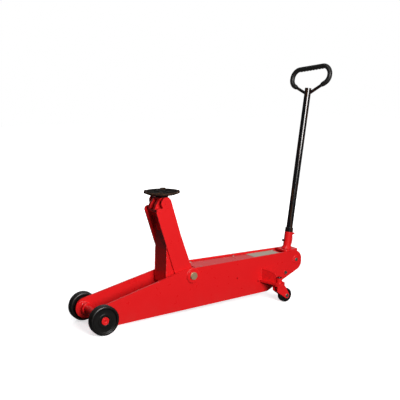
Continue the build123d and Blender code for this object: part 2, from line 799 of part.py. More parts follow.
rim = saddle_pin[1] + saddle_top_height
neck_foot = bracket_face + side_gap / 2
with BuildPart() as saddle:
    with BuildSketch(Plane(origin=(saddle_x, 0, 0), x_dir=(1, 0, 0), z_dir=(0, -1, 0))):
        with BuildLine():
            Polyline(
                (0, rim - saddle_dish_depth),
                (0, neck_foot),
                (saddle_neck_d / 2, neck_foot),
                (saddle_neck_d / 2, neck_foot + saddle_neck_h),
                (saddle_d / 2 - saddle_flare, rim - 2 * saddle_rim_t),
                (saddle_d / 2, rim - saddle_rim_t),
                (saddle_d / 2, rim - saddle_rim_edge),
                (saddle_d / 2 - saddle_rim_edge, rim),
                (saddle_d / 2 - saddle_rim_w, rim),
                (saddle_d / 2 - saddle_rim_w - saddle_dish_depth, rim - saddle_dish_depth),
                close=True,
            )
        make_face()
    revolve(axis=Axis((saddle_x, 0, 0), (0, 0, 1)))
    rib_length = saddle_d / 2 - saddle_rim_w - saddle_rib_start
    with Locations((saddle_x, 0, rim - saddle_dish_depth)):
        with PolarLocations(saddle_rib_start, saddle_rib_count):
            Box(rib_length, saddle_rib_w, saddle_rib_h,
                align=(Align.MIN, Align.CENTER, Align.MIN))
    with Locations((saddle_x, 0, rim)):
        with PolarLocations(saddle_d / 2 - saddle_rim_w, saddle_lug_count, saddle_lug_angle):
            Box(saddle_lug_t, saddle_lug_w, 2 * saddle_lug_h,
                align=(Align.MIN, Align.CENTER, Align.CENTER))
    with Locations((saddle_x, 0, neck_foot)):
        Cylinder(spigot_d / 2 + running_gap, spigot_height + side_gap,
                 align=(Align.CENTER, Align.CENTER, Align.MIN), mode=Mode.SUBTRACT)
    screw_z = neck_foot + saddle_neck_h / 2
    with Locations(Location((saddle_x, 0, screw_z), (-90, 0, 0))):
        Cylinder(set_screw_d / 2, saddle_neck_d / 2 + side_gap,
                 align=(Align.CENTER, Align.CENTER, Align.MIN), mode=Mode.SUBTRACT)
write_node(saddle, "saddle")

with BuildPart() as saddle_set_screw:
    screw_from = spigot_d / 2 + screw_tip_gap
    with Locations(Location((saddle_x, screw_from, screw_z), (-90, 0, 0))):
        Cylinder(set_screw_d / 2, saddle_neck_d / 2 - screw_from - side_gap,
                 align=(Align.CENTER, Align.CENTER, Align.MIN))
write_node(saddle_set_screw, "saddle_set_screw")

# ================================================================== ram and pump
def rod_along(x_from, x_to, z, radius, y=0.0, mode=Mode.ADD):
    """Add or cut a round bar that lies along the chassis."""
    with Locations(Location((x_from, y, z), (0, 90, 0))):
        Cylinder(radius, x_to - x_from, align=(Align.CENTER, Align.CENTER, Align.MIN), mode=mode)


pad_back = pad_front + pad_length
gland_x, gland_back = along(gland_front), along(gland_front + gland_length)
block_x, block_back = along(block_front), along(block_rear)
spring_height = ram_height + ram_spring_lift

with BuildPart() as pusher_pad:
    with Locations((pad_front, 0, ram_height)):
        Box(pad_length, 2 * pad_half_width, pad_height,
            align=(Align.MIN, Align.CENTER, Align.CENTER))
    chamfer(pusher_pad.edges().filter_by(Axis.Y), length=heavy_chamfer)
    with Locations((pad_back, 0, ram_height)):
        Box(pad_wing_t, 2 * (ram_spring_side + ram_spring_d / 2), pad_wing_h,
            align=(Align.MIN, Align.CENTER, Align.CENTER))
    with Locations((pad_back, ram_spring_side, spring_height),
                   (pad_back, -ram_spring_side, spring_height)):
        Box(pad_wing_t, ram_spring_d, ram_spring_d, align=(Align.MIN, Align.CENTER, Align.CENTER))
    with Locations((pad_back, ram_spring_side, (spring_height + ram_height) / 2),
                   (pad_back, -ram_spring_side, (spring_height + ram_height) / 2)):
        Box(pad_wing_t, ram_spring_d, ram_spring_lift,
            align=(Align.MIN, Align.CENTER, Align.CENTER))
    rod_along(pad_back - pad_length / 2, gland_x, ram_height, piston_rod_d / 2,
              mode=Mode.SUBTRACT)
write_node(pusher_pad, "pusher_pad")

piston_front = along(piston_back - piston_length)
with BuildPart() as piston_rod:
    rod_along(pad_back - pad_length / 2, piston_front, ram_height, piston_rod_d / 2)
write_node(piston_rod, "piston_rod")

with BuildPart() as piston:
    rod_along(piston_front, along(piston_back), ram_height, cylinder_bore_d / 2 - running_gap)
write_node(piston, "piston")

with BuildPart() as gland_nut:
    rod_along(gland_x, gland_back, ram_height, gland_d / 2)
    chamfer(gland_nut.edges().filter_by(GeomType.CIRCLE).group_by(Axis.X)[0], length=heavy_chamfer)
    rod_along(gland_x, gland_back, ram_height, piston_rod_d / 2 + running_gap, mode=Mode.SUBTRACT)
write_node(gland_nut, "gland_nut")

with BuildPart() as ram_cylinder:
    rod_along(gland_back, block_x, ram_height, cylinder_d / 2)
    rod_along(gland_back, block_x, ram_height, cylinder_bore_d / 2, mode=Mode.SUBTRACT)
write_node(ram_cylinder, "ram_cylinder")

with BuildPart() as reservoir_tube:
    rod_along(gland_back, block_x, ram_height, reservoir_d / 2)
    rod_along(gland_back + reservoir_wall, block_x, ram_height,
              reservoir_d / 2 - reservoir_wall, mode=Mode.SUBTRACT)
    rod_along(gland_back, block_x, ram_height, cylinder_d / 2, mode=Mode.SUBTRACT)
    with Locations((along(filler_station), 0, ram_height)):
        Cylinder(filler_d / 2, reservoir_d, align=(Align.CENTER, Align.CENTER, Align.MIN),
                 mode=Mode.SUBTRACT)
write_node(reservoir_tube, "reservoir_tube")

with BuildPart() as filler_plug:
    plug_foot = ram_height + reservoir_d / 2 - reservoir_wall
    with Locations((along(filler_station), 0, plug_foot)):
        Cylinder(filler_d / 2, filler_depth, align=(Align.CENTER, Align.CENTER, Align.MIN))
    with BuildSketch(Plane((along(filler_station), 0, plug_foot + filler_depth))):
        RegularPolygon(filler_hex / 2, 6, major_radius=False)
    extrude(amount=filler_head_h)
write_node(filler_plug, "filler_plug")

plunger_back = pump_roller[1]
with BuildPart() as pump_block:
    chassis_bay(block_front, block_rear, block_bottom, block_top)
    with Locations((block_back, 0, block_bottom)):
        Box(2 * block_heel_cut, 2 * half_width_front, block_heel_cut, mode=Mode.SUBTRACT)
    rod_along(block_x + block_wall, block_back, plunger_back, plunger_d / 2 + running_gap,
              mode=Mode.SUBTRACT)
    rod_along(along(spindle_start) - 2 * side_gap, block_back, spindle_height,
              spindle_d / 2 + running_gap, mode=Mode.SUBTRACT)
write_node(pump_block, "pump_block")

with BuildPart() as pump_plunger:
    rod_along(along(plunger_start), plunger_tip, plunger_back, plunger_d / 2)
    collar_x = plunger_tip - plunger_collar_in
    rod_along(collar_x, collar_x + plunger_collar_t, plunger_back, plunger_collar_d / 2)
write_node(pump_plunger, "pump_plunger")


def coil(x_from, x_to, y, z, mean_d, wire, turns):
    """Add a helical spring that lies along the chassis."""
    with BuildLine(mode=Mode.PRIVATE) as helix:
        Helix(pitch=(x_to - x_from) / turns, height=x_to - x_from, radius=mean_d / 2,
              center=(x_from, y, z), direction=(1, 0, 0))
    start = Plane(origin=helix.line @ 0, z_dir=helix.line % 0)
    with BuildSketch(start, mode=Mode.PRIVATE) as wire_end:
        Circle(wire / 2)
    sweep(wire_end.sketch, path=helix.line, is_frenet=True)


with BuildPart() as pump_spring:
    coil(block_back + pump_spring_wire, collar_x - pump_spring_wire, 0, plunger_back,
         pump_spring_d - pump_spring_wire, pump_spring_wire, pump_spring_turns)
write_node(pump_spring, "pump_spring")

with BuildPart() as return_springs:
    for side in (-1, 1):
        coil(pad_back + pad_wing_t + ram_spring_wire, block_x - ram_spring_wire,
             side * ram_spring_side, spring_height, ram_spring_d - ram_spring_wire,
             ram_spring_wire, ram_spring_turns)
write_node(return_springs, "return_springs")

with BuildPart() as release_spindle:
    rod_along(along(spindle_start), along(spindle_end), spindle_height, spindle_d / 2)
    rod_along(along(spindle_end) - side_gap, along(spindle_end) + knuckle_length,
              spindle_height, knuckle_d / 2)
    with Locations((along(spindle_end) + knuckle_length, 0, spindle_height)):
        Box(2 * knuckle_slot, knuckle_d / 2, knuckle_d, mode=Mode.SUBTRACT)
write_node(release_spindle, "release_spindle")

# ================================================================== handle yoke
handle = handle_plane(along(handle_foot))
handle_axis = handle.y_dir


def up_handle(distance):
    """Point on the handle's axis, this far from the yoke pivot's height."""
    return handle.from_local_coords((0, distance, 0))


def handle_section(distance):
    """Plane square to the handle's axis, with X pointing rearwards."""
    lean = radians(handle_lean)
    return Plane(origin=up_handle(distance), x_dir=(cos(lean), 0, -sin(lean)), z_dir=handle_axis)


def bar_up_handle(s_from, s_to, radius, mode=Mode.ADD):
    """Add or cut a round bar on the handle's axis."""
    with Locations(handle_section(s_from)):
        Cylinder(radius, s_to - s_from, align=(Align.CENTER, Align.CENTER, Align.MIN), mode=mode)


handle_side = Plane(
    origin=up_handle(0),
    x_dir=(cos(radians(handle_lean)), 0, -sin(radians(handle_lean))),
    z_dir=(0, -1, 0),
)
with BuildPart() as handle_yoke:
    with BuildSketch(Plane.XY.offset(yoke_slab_bottom)):
        with Locations(((along(yoke_slab_front) + along(yoke_slab_rear)) / 2, 0)):
            RectangleRounded(yoke_slab_rear - yoke_slab_front, 2 * yoke_half_width,
                             radius=yoke_slab_corner)
    extrude(amount=yoke_slab_t)
    slab_faces = handle_yoke.faces().filter_by(Axis.Z)
    fillet(slab_faces.edges(), radius=yoke_slab_round)
    with BuildSketch(side_sheet(-yoke_half_width)):
        with Locations((yoke_x, yoke_z)):
            Circle(yoke_sleeve_d / 2)
        with Locations((along(yoke_cheek_front), yoke_slab_bottom)):
            Rectangle(yoke_slab_rear - yoke_slab_corner - yoke_cheek_front, yoke_cheek_depth,
                      align=(Align.MIN, Align.MIN))
        make_hull()
    extrude(amount=-2 * yoke_half_width)
    with Locations(((along(yoke_slab_front) + yoke_x) / 2, 0, yoke_slab_bottom)):
        Box(2 * handle_foot, 2 * yoke_cheek_inner, 2 * yoke_slab_bottom,
            align=(Align.CENTER, Align.CENTER, Align.MAX), mode=Mode.SUBTRACT)
    with Locations(across(yoke_x, yoke_z)):
        Cylinder(yoke_sleeve_d / 2, 2 * yoke_half_width)
    with BuildSketch(side_sheet(-(pump_roller_w / 2 + side_gap + pump_lug_t))):
        with Locations((yoke_x, yoke_z)):
            Circle(yoke_sleeve_d / 2)
        with Locations(pump_roller):
            Circle(pump_roller_d / 2)
        make_hull()
    extrude(amount=-2 * (pump_roller_w / 2 + side_gap + pump_lug_t))
    with Locations((yoke_x, 0, yoke_z - yoke_sleeve_d / 2)):
        Box(4 * pump_crank, pump_roller_w + 2 * side_gap, 4 * pump_crank,
            align=(Align.CENTER, Align.CENTER, Align.MAX), mode=Mode.SUBTRACT)
    with Locations(across(*pump_roller)):
        Cylinder(pump_roller_d / 2 + 2 * side_gap, pump_roller_w + 2 * side_gap, mode=Mode.SUBTRACT)
        Cylinder(pump_pin_d / 2, 2 * yoke_half_width, mode=Mode.SUBTRACT)
    bar_up_handle(socket_floor - socket_root, socket_top, socket_d / 2)
    with Locations(handle_section(socket_flare_foot)):
        Cone(socket_d / 2 + socket_flare, socket_d / 2, socket_root,
             align=(Align.CENTER, Align.CENTER, Align.MIN))
    with BuildSketch(handle_side.offset(-hook_t / 2)):
        with BuildLine():
            wall = socket_d / 2 - hook_root
            lip, nose_tip, throat, belly = [
                (socket_d / 2 + outside, socket_top - below) for outside, below in hook_outline
            ]
            Line((wall, socket_floor), (wall, socket_top - side_gap))
            Line((wall, socket_top - side_gap), lip)
            Line(lip, nose_tip)
            Line(nose_tip, throat)
            Spline(throat, belly, (wall, socket_floor))
        make_face()
    extrude(amount=hook_t)
    with Locations(across(yoke_x, yoke_z)):
        Cylinder(yoke_bolt_d / 2 + running_gap, through, mode=Mode.SUBTRACT)
    bar_up_handle(socket_floor, socket_top + side_gap, handle_d / 2 + running_gap, mode=Mode.SUBTRACT)
    bar_up_handle(0, socket_floor + side_gap, spindle_d / 2 + loose_gap, mode=Mode.SUBTRACT)
    with Locations(Plane(origin=up_handle(clamp_screw_at), z_dir=-handle_side.x_dir)):
        Cylinder(clamp_screw_d / 2, socket_d, align=(Align.CENTER, Align.CENTER, Align.MIN),
                 mode=Mode.SUBTRACT)
write_node(handle_yoke, "handle_yoke")

with BuildPart() as clamp_screw:
    screw_axis = Plane(origin=up_handle(clamp_screw_at), z_dir=-handle_side.x_dir)
    tip = handle_d / 2 + screw_tip_gap
    with Locations(screw_axis.offset(tip)):
        Cylinder(clamp_screw_d / 2, clamp_screw_reach - tip,
                 align=(Align.CENTER, Align.CENTER, Align.MIN))
    with Locations(screw_axis.offset(clamp_screw_reach - clamp_head_t)):
        Cylinder(clamp_head_d / 2, clamp_head_t, align=(Align.CENTER, Align.CENTER, Align.MIN))
    chamfer(clamp_screw.edges().filter_by(GeomType.CIRCLE).sort_by(Axis.X)[0], length=edge_chamfer)
write_node(clamp_screw, "clamp_screw")

cross_pin(*pump_roller, pump_pin_d, pump_roller_w / 2 + side_gap + pump_lug_t, "pump_roller_pin")
roller(*pump_roller, pump_roller_d, pump_roller_w, pump_pin_d, "pump_roller")

with BuildPart() as yoke_bolt:
    bolt_face = outer_half_width(yoke_pivot[0]) + yoke_ring_t + yoke_bolt_proud
    with Locations(across(yoke_x, yoke_z)):
        Cylinder(yoke_bolt_d / 2, 2 * bolt_face)
    chamfer(yoke_bolt.edges().filter_by(GeomType.CIRCLE), length=yoke_bolt_proud / 2)
write_node(yoke_bolt, "yoke_bolt")

# ================================================================== handle
with BuildPart() as handle_collar:
    bar_up_handle(socket_top + side_gap, socket_top + collar_length, collar_d / 2)
    chamfer(handle_collar.edges().filter_by(GeomType.CIRCLE).sort_by(Axis.Z)[-1], length=heavy_chamfer)
    bar_up_handle(0, socket_top + 2 * collar_length, handle_d / 2, mode=Mode.SUBTRACT)
write_node(handle_collar, "handle_collar")

with BuildPart() as release_link:
    bar_up_handle(link_foot, socket_floor + link_head, spindle_d / 2)
    disc_foot = socket_floor + link_disc_lift
    bar_up_handle(disc_foot, disc_foot + knuckle_length, handle_d / 2 - handle_wall)
    bar_up_handle(link_foot, link_foot + knuckle_length, knuckle_d / 2 - side_gap)
    with Locations(handle_section(link_foot)):
        Box(knuckle_d, knuckle_d / 2, knuckle_length, mode=Mode.SUBTRACT)
write_node(release_link, "release_link")

with BuildPart() as hand_loop:
    with BuildLine(handle) as loop_route:
        FilletPolyline(*loop_corners, radius=loop_radii, close=True)
    rod_start = Plane(origin=loop_route.line @ 0, z_dir=loop_route.line % 0)
    with BuildSketch(rod_start):
        Circle(loop_rod_d / 2)
    sweep(path=loop_route.line)
write_node(hand_loop, "hand_loop")

with BuildPart() as handle_tube:
    bar_up_handle(socket_floor + side_gap, handle_top, handle_d / 2)
    bar_up_handle(0, handle_top + side_gap, handle_d / 2 - handle_wall, mode=Mode.SUBTRACT)
    add(hand_loop.part, mode=Mode.SUBTRACT)
write_node(handle_tube, "handle_tube")


def part_way(start, end, share):
    """Point this share of the way from one to the other."""
    return (start[0] + (end[0] - start[0]) * share, start[1] + (end[1] - start[1]) * share)


with BuildPart() as hand_grip:
    grip_corners = [
        part_way(loop_corners[0], loop_left_low, grip_from),
        loop_left_low,
        loop_left_high,
        loop_right_high,
        loop_right_low,
        part_way(loop_corners[0], loop_right_low, grip_from),
    ]
    with BuildLine(handle) as grip_route:
        FilletPolyline(*grip_corners, radius=loop_radii[1:])
    with BuildSketch(Plane(origin=grip_route.line @ 0, z_dir=grip_route.line % 0)):
        Circle(grip_d / 2)
    sweep(path=grip_route.line)
    bar_slope = degrees(atan2(loop_right_high[1] - loop_left_high[1],
                              loop_right_high[0] - loop_left_high[0]))
    for number in range(grip_ridge_count):
        share = grip_ridges_from + (grip_ridges_to - grip_ridges_from) * number / (
            grip_ridge_count - 1)
        middle = part_way(loop_left_high, loop_right_high, share)
        ridge = handle * Location((*middle, 0), (0, 0, bar_slope)) * Location((0, -grip_ridge_drop, 0),
                                                                          (0, 90, 0))
        with Locations(ridge):
            Sphere(grip_ridge_d / 2)
    add(hand_loop.part, mode=Mode.SUBTRACT)
write_node(hand_grip, "hand_grip")

# ================================================================== rear casters
caster_x = along(caster_station)
foot_y = outer_half_width(caster_foot_rear)
with BuildPart() as caster_bracket:
    with BuildSketch(Plane.XY.offset(caster_plate_top)):
        with BuildLine():
            Polyline(
                (along(caster_foot_front), -foot_y),
                (along(caster_foot_rear), -foot_y),
                (along(caster_foot_rear), -foot_y - plate_t),
                (along(caster_foot_front), -foot_y - plate_t),
                close=True,
            )
        make_face()
        with Locations((caster_x, -caster_side)):
            Circle(caster_flange_d / 2)
        make_hull()
    extrude(amount=-caster_plate_t)
    gusset_foot = (along(caster_foot_front) + gusset_setback, -foot_y)
    reach_x, reach_y = caster_x - gusset_foot[0], -caster_side - gusset_foot[1]
    reach = hypot(reach_x, reach_y)
    gusset_plane = Plane(origin=(*gusset_foot, 0), x_dir=(reach_x, reach_y, 0),
                         z_dir=(reach_y, -reach_x, 0))
    with BuildSketch(gusset_plane.offset(-gusset_t / 2)):
        with BuildLine():
            Polyline(
                (0, caster_plate_top),
                (reach, caster_plate_top),
                (reach, caster_boss_top),
                (reach - caster_boss_d / 2, caster_boss_top),
                (gusset_knee[0] * reach, gusset_knee[1]),
                (0, gusset_top),
                close=True,
            )
        make_face()
    extrude(amount=gusset_t)
    with Locations((caster_x, -caster_side, caster_plate_top)):
        Cylinder(caster_boss_d / 2, caster_boss_top - caster_plate_top,
                 align=(Align.CENTER, Align.CENTER, Align.MIN))
        Cylinder(caster_stem_d / 2 + running_gap, 2 * caster_plate_top, mode=Mode.SUBTRACT)
    add(side_plate.part, mode=Mode.SUBTRACT)
    with Locations((caster_x, 0, caster_plate_top)):
        Box(4 * caster_side, 2 * (foot_y - plate_t / 2), 2 * caster_plate_top, mode=Mode.SUBTRACT)
write_pair(caster_bracket, "caster_bracket")

with BuildPart() as stem_caps:
    for side in (-1, 1):
        with Locations((caster_x, side * caster_side, caster_boss_top)):
            Cylinder(caster_cap_d / 2, caster_cap_t, align=(Align.CENTER, Align.CENTER, Align.MIN))
    chamfer(stem_caps.edges().filter_by(GeomType.CIRCLE).group_by(Axis.Z)[-1], length=shaft_chamfer)
write_node(stem_caps, "stem_caps")

fork_top = caster_plate_top - caster_plate_t - side_gap
wheel_x = caster_x + caster_trail
wheel_z = caster_wheel_d / 2
leg_inner = caster_wheel_w / 2 + 1.5 * side_gap
leg_outer = leg_inner + fork_leg_t
with BuildPart() as caster_fork:
    with Locations((caster_x, -caster_side, fork_top)):
        Cylinder(caster_flange_d / 2 - side_gap, fork_plate_t,
                 align=(Align.CENTER, Align.CENTER, Align.MAX))
        Cylinder(caster_stem_d / 2, caster_boss_top - fork_top - side_gap,
                 align=(Align.CENTER, Align.CENTER, Align.MIN))
    for leg_y in (-caster_side - leg_inner, -caster_side + leg_outer):
        with BuildSketch(side_sheet(leg_y)):
            with Locations((wheel_x, wheel_z)):
                Circle(fork_foot_d / 2)
            with Locations((caster_x - fork_leg_offset, fork_top - fork_plate_t / 2)):
                Rectangle(fork_leg_w, fork_leg_drop, align=(Align.CENTER, Align.MAX))
            make_hull()
        extrude(amount=fork_leg_t)
    with Locations(across(wheel_x, wheel_z)):
        Cylinder(caster_axle_d / 2, 4 * caster_side, mode=Mode.SUBTRACT)
write_pair(caster_fork, "caster_fork")

with BuildPart() as caster_wheel:
    with Locations(Location((wheel_x, -caster_side, wheel_z), (90, 0, 0))):
        Cylinder(caster_wheel_d / 2, caster_wheel_w)
    fillet(caster_wheel.edges().filter_by(GeomType.CIRCLE), radius=caster_tread_round)
    with Locations(Location((wheel_x, -caster_side, wheel_z), (90, 0, 0))):
        Cylinder(caster_axle_d / 2 + running_gap, caster_wheel_w, mode=Mode.SUBTRACT)
write_pair(caster_wheel, "caster_wheel")

with BuildPart() as caster_axle:
    with Locations(Location((wheel_x, -caster_side, wheel_z), (90, 0, 0))):
        Cylinder(caster_axle_d / 2, 2 * leg_outer)
        Cylinder(caster_axle_head_d / 2, 2 * (leg_outer + caster_axle_head_t))
        Cylinder(caster_axle_head_d, 2 * leg_outer, mode=Mode.SUBTRACT)
        Cylinder(caster_axle_d / 2, 2 * leg_outer)
    chamfer(caster_axle.edges().filter_by(GeomType.CIRCLE).group_by(Axis.Y)[0], length=edge_chamfer)
write_pair(caster_axle, "caster_axle")
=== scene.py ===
"""Looks of a long-chassis workshop jack: enamel, castings, rubber, welds, studio and camera.

Everything is in metres, in the jack's own frame: +X from the front wheels to the handle, +Y to
the right of somebody standing at the handle, +Z up from the floor.
"""
import json
import math

import bpy
import numpy as np
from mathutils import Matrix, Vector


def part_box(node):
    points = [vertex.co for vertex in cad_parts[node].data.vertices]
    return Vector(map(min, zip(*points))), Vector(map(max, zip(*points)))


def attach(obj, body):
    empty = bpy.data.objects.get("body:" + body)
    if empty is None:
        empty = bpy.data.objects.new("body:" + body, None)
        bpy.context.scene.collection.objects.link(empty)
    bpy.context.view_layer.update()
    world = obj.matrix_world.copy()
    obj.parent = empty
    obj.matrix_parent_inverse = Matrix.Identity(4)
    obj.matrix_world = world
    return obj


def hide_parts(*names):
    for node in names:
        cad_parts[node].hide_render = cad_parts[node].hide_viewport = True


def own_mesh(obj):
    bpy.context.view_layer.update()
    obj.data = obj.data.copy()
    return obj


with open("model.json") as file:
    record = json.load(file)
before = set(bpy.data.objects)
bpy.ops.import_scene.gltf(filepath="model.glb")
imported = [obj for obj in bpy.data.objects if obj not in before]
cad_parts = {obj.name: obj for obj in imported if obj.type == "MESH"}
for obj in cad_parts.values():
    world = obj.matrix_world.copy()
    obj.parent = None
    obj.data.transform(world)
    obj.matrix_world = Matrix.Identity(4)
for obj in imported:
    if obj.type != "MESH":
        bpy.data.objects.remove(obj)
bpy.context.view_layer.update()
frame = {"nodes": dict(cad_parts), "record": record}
nodes = frame["nodes"]
TURN = 2 * math.pi
WELD_STEP = 0.0009              # metres between a weld bead's sections


def middle(node):
    """Centre of a node's box, as an array."""
    low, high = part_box(node)
    return (np.array(low) + np.array(high)) / 2


# ------------------------------------------------------------------ places that pieces share
axle = middle("front_axle")
shaft = middle("main_shaft")
yoke_pin = middle("yoke_bolt")
saddle_centre = middle("saddle")
front_radius = float(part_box("front_wheel_left")[1][2] - axle[2])
plate_front_y = 0.086           # outer face of a side plate at the front axle
plate_rear_y = 0.0515           # the same at the plate's rear end
plate_rear = 1.114              # rear end of the side plates, behind the front axle
plate_taper = (plate_front_y - plate_rear_y) / plate_rear
plate_thick = 0.008
handle_lean = math.radians(8.2)
loop_turn = math.radians(-80.0)
handle_foot_behind = 1.0519     # where the handle's axis passes the yoke pivot's height
handle_foot = np.array([axle[0] + handle_foot_behind, 0.0, 0.1683])
handle_up = np.array([math.sin(handle_lean), 0.0, math.cos(handle_lean)])
loop_across = np.array([
    math.cos(loop_turn) * math.cos(handle_lean),
    math.sin(loop_turn),
    -math.cos(loop_turn) * math.sin(handle_lean),
])


def plate_face(x):
    """Distance from the middle plane to a side plate's outer face: front width less taper."""
    return plate_front_y - plate_taper * (x - axle[0])


# ------------------------------------------------------------------ surfaces
def make_piece(name, points, faces, body, slot, smooth=True):
    """Put arrays of points and faces into a mesh object that rides on a body."""
    mesh = bpy.data.meshes.new(name)
    mesh.from_pydata(points.reshape(-1, 3).tolist(), [], faces)
    mesh.polygons.foreach_set("use_smooth", [smooth] * len(mesh.polygons))
    mesh.update()
    piece = bpy.data.objects.new(name, mesh)
    bpy.context.scene.collection.objects.link(piece)
    if body:
        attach(piece, body)
    return piece


def grid_faces(rows, columns, close_rows, close_columns, start=0):
    """Quads of a grid of points; a closed direction joins its last line to its first."""
    i, j = np.meshgrid(
        np.arange(rows if close_rows else rows - 1),
        np.arange(columns if close_columns else columns - 1),
        indexing="ij",
    )
    next_i, next_j = (i + 1) % rows, (j + 1) % columns
    quads = np.stack([i * columns + j, next_i * columns + j,
                      next_i * columns + next_j, i * columns + next_j], axis=-1)
    return (quads.reshape(-1, 4) + start).tolist()


def outward(faces, volume):
    """Reverse the faces when the surface's signed volume comes out negative."""
    if volume < 0:
        return [face[::-1] for face in faces]
    return faces


def signed_volume(points, faces):
    """Sum of the tetrahedra between the origin and each quad's two triangles."""
    quads = np.array(faces)
    flat = points.reshape(-1, 3) - points.reshape(-1, 3).mean(axis=0)
    a, b, c, d = (flat[quads[:, k]] for k in range(4))
    return (np.cross(a, b) * c).sum() + (np.cross(a, c) * d).sum()


def rounded(corners, radii, steps=6, closed=True):
    """Outline with each corner turned into a circular arc that touches both its sides.

    At a corner the arc starts and ends at radius / tan(half angle) along the sides, and its
    points are centre + radius * direction, with the direction swung evenly between them.
    """
    corners = np.array(corners, dtype=float)
    count = len(corners)
    parts = []
    for k in range(count):
        here = corners[k]
        if not closed and k in (0, count - 1):
            parts.append(here[None, :])
            continue
        before, after = corners[k - 1] - here, corners[(k + 1) % count] - here
        before, after = before / np.linalg.norm(before), after / np.linalg.norm(after)
        half = math.acos(float(np.clip(before @ after, -1, 1))) / 2
        if radii[k] <= 0 or half > math.radians(88):
            parts.append(here[None, :])
            continue
        bisector = (before + after) / np.linalg.norm(before + after)
        centre = here + bisector * radii[k] / math.sin(half)
        start = here + before * radii[k] / math.tan(half) - centre
        end = here + after * radii[k] / math.tan(half) - centre
        share = np.linspace(0, 1, steps + 1)[:, None]
        swing = math.pi - 2 * half
        parts.append(centre + (np.sin((1 - share) * swing) * start
                               + np.sin(share * swing) * end) / math.sin(swing))
    return np.concatenate(parts)


def turned_mesh(centre, profile, steps=96):
    """Closed profile of (y, radius) spun about the axis along Y through the centre.

    Point = centre + (radius cos t, y, radius sin t), for t over a full turn.
    """
    angle = np.linspace(0, TURN, steps, endpoint=False)[:, None]
    y, radius = profile[None, :, 0], profile[None, :, 1]
    points = np.stack([
        centre[0] + radius * np.cos(angle),
        centre[1] + y + 0 * angle,
        centre[2] + radius * np.sin(angle),
    ], axis=-1)
    faces = grid_faces(steps, profile.shape[0], True, True)
    return points, outward(faces, signed_volume(points, faces))


def turned_piece(name, centres, profile, body, slot, steps=96):
    """One piece made of the same turned shape at several centres, mirrored where side is -1."""
    all_points, all_faces, start = [], [], 0
    for centre, side in centres:
        shape = profile * np.array([side, 1.0])
        points, faces = turned_mesh(np.array(centre), shape, steps)
        all_points.append(points.reshape(-1, 3))
        all_faces += (np.array(faces) + start).tolist()
        start += all_points[-1].shape[0]
    return make_piece(name, np.concatenate(all_points), all_faces, body, slot)


def sweep_mesh(path, across, up, closed=False, around=12, start=0):
    """Round section carried along a path, its half-widths given per path point.

    Point = path + across_size cos t * side + up_size sin t * lift, where lift is square to the
    path in the plane of the given up direction, and side = path direction x lift.
    """
    ahead = np.roll(path, -1, axis=0) - np.roll(path, 1, axis=0)
    if not closed:
        ahead[0], ahead[-1] = path[1] - path[0], path[-1] - path[-2]
    ahead /= np.linalg.norm(ahead, axis=1)[:, None]
    lift = up["direction"] - ahead * (ahead * up["direction"]).sum(axis=1)[:, None]
    lift /= np.linalg.norm(lift, axis=1)[:, None]
    side = np.cross(ahead, lift)
    turn = np.linspace(0, TURN, around, endpoint=False)
    points = (path[:, None, :]
              + across[:, None, None] * np.cos(turn)[None, :, None] * side[:, None, :]
              + up["size"][:, None, None] * np.sin(turn)[None, :, None] * lift[:, None, :])
    faces = grid_faces(path.shape[0], around, closed, True)
    if not closed:
        last = (path.shape[0] - 1) * around
        faces += [list(range(around))[::-1], list(range(last, last + around))]
    quads = [face for face in faces if len(face) == 4]
    faces = outward(faces, signed_volume(points, quads))
    return points.reshape(-1, 3), [[v + start for v in face] for face in faces]


def weld_path_mesh(path, normal, closed, start, width=0.0032, height=0.0022, pitch=0.0035):
    """Weld bead: a low rounded ridge along a seam, its size rippling once per pitch.

    Half-width = width (1 + 0.10 cos(TURN s / pitch)) and half-height likewise, with s the length
    along the seam; at an open end both fall to nothing as the root of the distance from it.
    """
    steps = np.linalg.norm(np.diff(path, axis=0), axis=1)
    length = np.concatenate([[0], np.cumsum(steps)])
    ripple = 1 + 0.10 * np.cos(TURN * length / pitch)
    wander = 1 + 0.08 * np.sin(TURN * length / 0.031 + 1.3)
    size = ripple * wander
    if not closed:
        from_end = np.minimum(length, length[-1] - length)
        size = size * np.clip(np.sqrt(from_end / 0.004 + 0.002), 0, 1)
    up = {"direction": np.asarray(normal, dtype=float), "size": height * size}
    return sweep_mesh(path, width * size, up, closed=closed, around=10, start=start)


def welds(name, seams, body):
    """One piece holding several weld beads; a seam is (path, surface normal, closed)."""
    all_points, all_faces, start = [], [], 0
    for path, normal, closed in seams:
        points, faces = weld_path_mesh(path, normal, closed, start)
        all_points.append(points)
        all_faces += faces
        start += points.shape[0]
    return make_piece(name, np.concatenate(all_points), all_faces, body, "red_paint")


def straight(start, end):
    """Evenly spaced points from one end of a seam to the other."""
    start, end = np.array(start), np.array(end)
    count = max(int(np.linalg.norm(end - start) / WELD_STEP), 8)
    share = np.linspace(0, 1, count)[:, None]
    return start * (1 - share) + end * share


def ring_on_side(centre, radius, side):
    """Circle round a cross shaft, lying on the tapering outer face of a side plate."""
    count = int(TURN * radius / WELD_STEP)
    angle = np.linspace(0, TURN, count, endpoint=False)
    x = centre[0] + radius * np.cos(angle)
    z = centre[2] + radius * np.sin(angle)
    return np.stack([x, side * plate_face(x), z], axis=-1)


